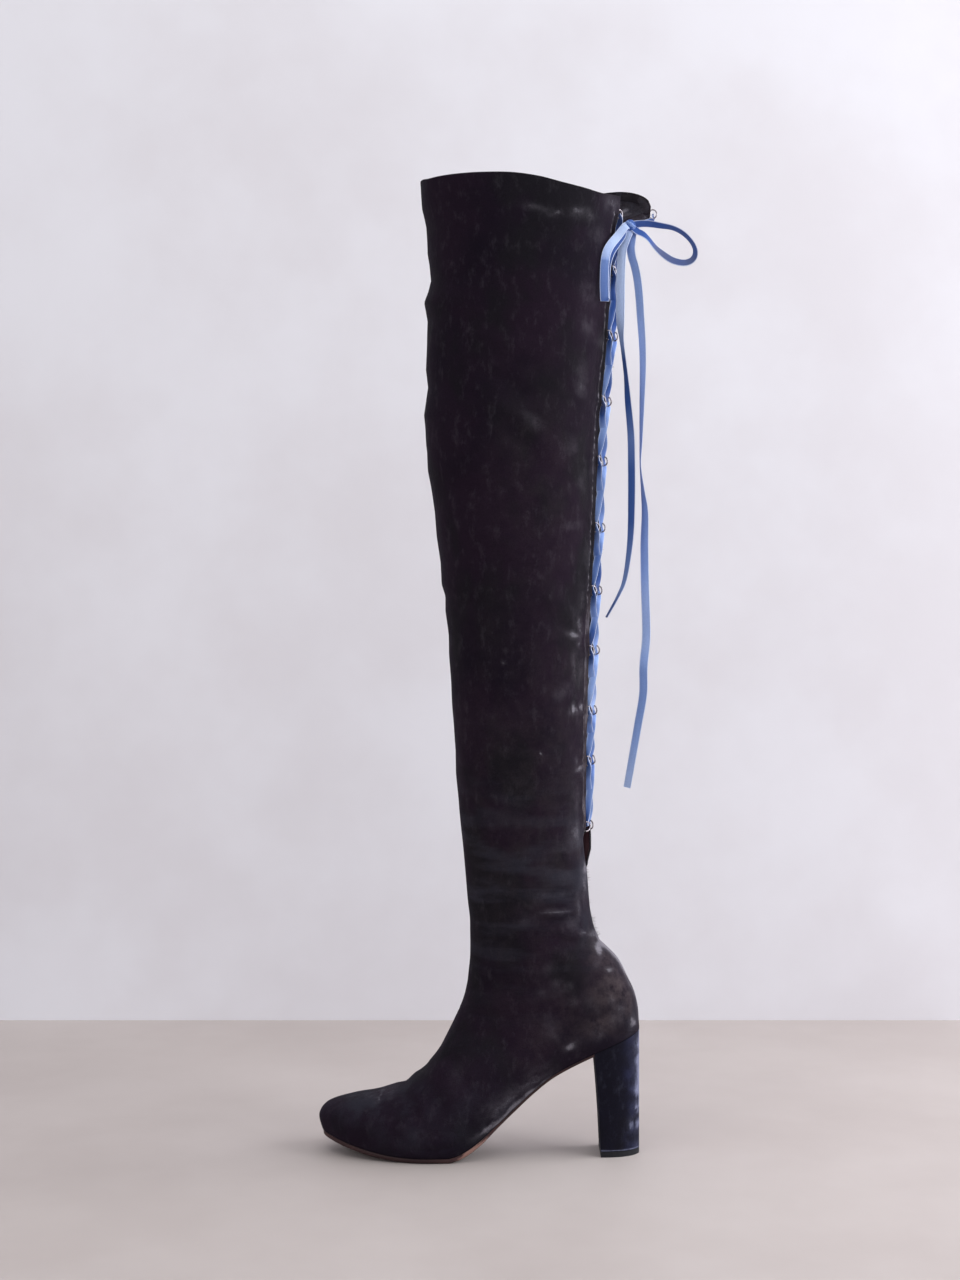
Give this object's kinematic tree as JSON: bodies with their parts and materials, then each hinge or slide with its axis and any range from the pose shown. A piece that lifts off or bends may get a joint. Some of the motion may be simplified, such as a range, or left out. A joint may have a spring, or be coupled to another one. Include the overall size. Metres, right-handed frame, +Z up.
{
  "type": "lace-up boot",
  "caption": "Over-the-knee velvet boot, left foot, with a round toe, covered block heel and a back slit laced with pale blue ribbon through wire eyes and tied in a bow.",
  "frame": {"origin": "the middle of the heel tip's face on the floor", "axes": "+Z up the leg, -X towards the toe, -Y towards the foot's outer side"},
  "size_m": [0.2806, 0.1118, 0.7234],
  "materials": {
    "velvet": "worn dark aubergine-black velvet with scuffed grey patches",
    "heel_velvet": "navy-black velvet pulled smooth over the heel",
    "sole_leather": "reddish brown sole leather, worn along its edge",
    "insole_leather": "plain brown lining leather",
    "tip_rubber": "black, matt",
    "wire": "tarnished steel wire",
    "ribbon": "pale blue velvet ribbon"
  },
  "bodies": {
    "root": {"upper": "velvet", "outsole": "sole_leather", "insole": "insole_leather", "heel": "heel_velvet", "heel_tip": "tip_rubber", "eye_outer_01": "wire", "eye_outer_02": "wire", "eye_outer_03": "wire", "eye_outer_04": "wire", "eye_outer_05": "wire", "eye_outer_06": "wire", "eye_outer_07": "wire", "eye_outer_08": "wire", "eye_outer_09": "wire", "eye_outer_10": "wire", "eye_outer_11": "wire", "eye_inner_01": "wire", "eye_inner_02": "wire", "eye_inner_03": "wire", "eye_inner_04": "wire", "eye_inner_05": "wire", "eye_inner_06": "wire", "eye_inner_07": "wire", "eye_inner_08": "wire", "eye_inner_09": "wire", "eye_inner_10": "wire", "eye_inner_11": "wire", "lace_cross_01": "ribbon", "lace_cross_02": "ribbon", "lace_cross_03": "ribbon", "lace_cross_04": "ribbon", "lace_cross_05": "ribbon", "lace_cross_06": "ribbon", "lace_cross_07": "ribbon", "lace_cross_08": "ribbon", "lace_cross_09": "ribbon", "lace_cross_10": "ribbon", "bow_knot": "ribbon", "bow_loop_back": "ribbon", "bow_loop_front": "ribbon", "lace_end_short": "ribbon", "lace_end_long": "ribbon"}
  },
  "joints": []
}
